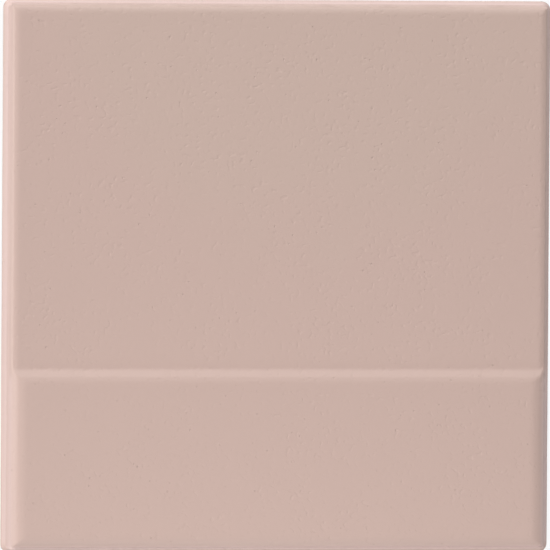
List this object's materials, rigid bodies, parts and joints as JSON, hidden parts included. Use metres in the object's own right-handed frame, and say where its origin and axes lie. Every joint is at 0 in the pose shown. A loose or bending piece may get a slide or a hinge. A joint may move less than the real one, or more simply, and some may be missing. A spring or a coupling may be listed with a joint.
{
  "type": "relief wall tile",
  "caption": "Square satin-glazed wall tile with rounded edges: a plain upper panel steps up to a thicker plinth strip along the lower edge; keyed biscuit back.",
  "frame": {"origin": "centre of the flat back, on the plane it rests on", "axes": "+Z out of the glazed face, +Y towards the edge that is uppermost on a wall, with the thicker strip along the -Y edge, +X to the right seen from the front"},
  "size_m": [0.15, 0.15, 0.0104],
  "materials": {
    "glazed_body": "satin-matt glaze over the face and walls, bare biscuit on the back"
  },
  "bodies": {
    "root": {"tile": "glazed_body"}
  },
  "joints": []
}
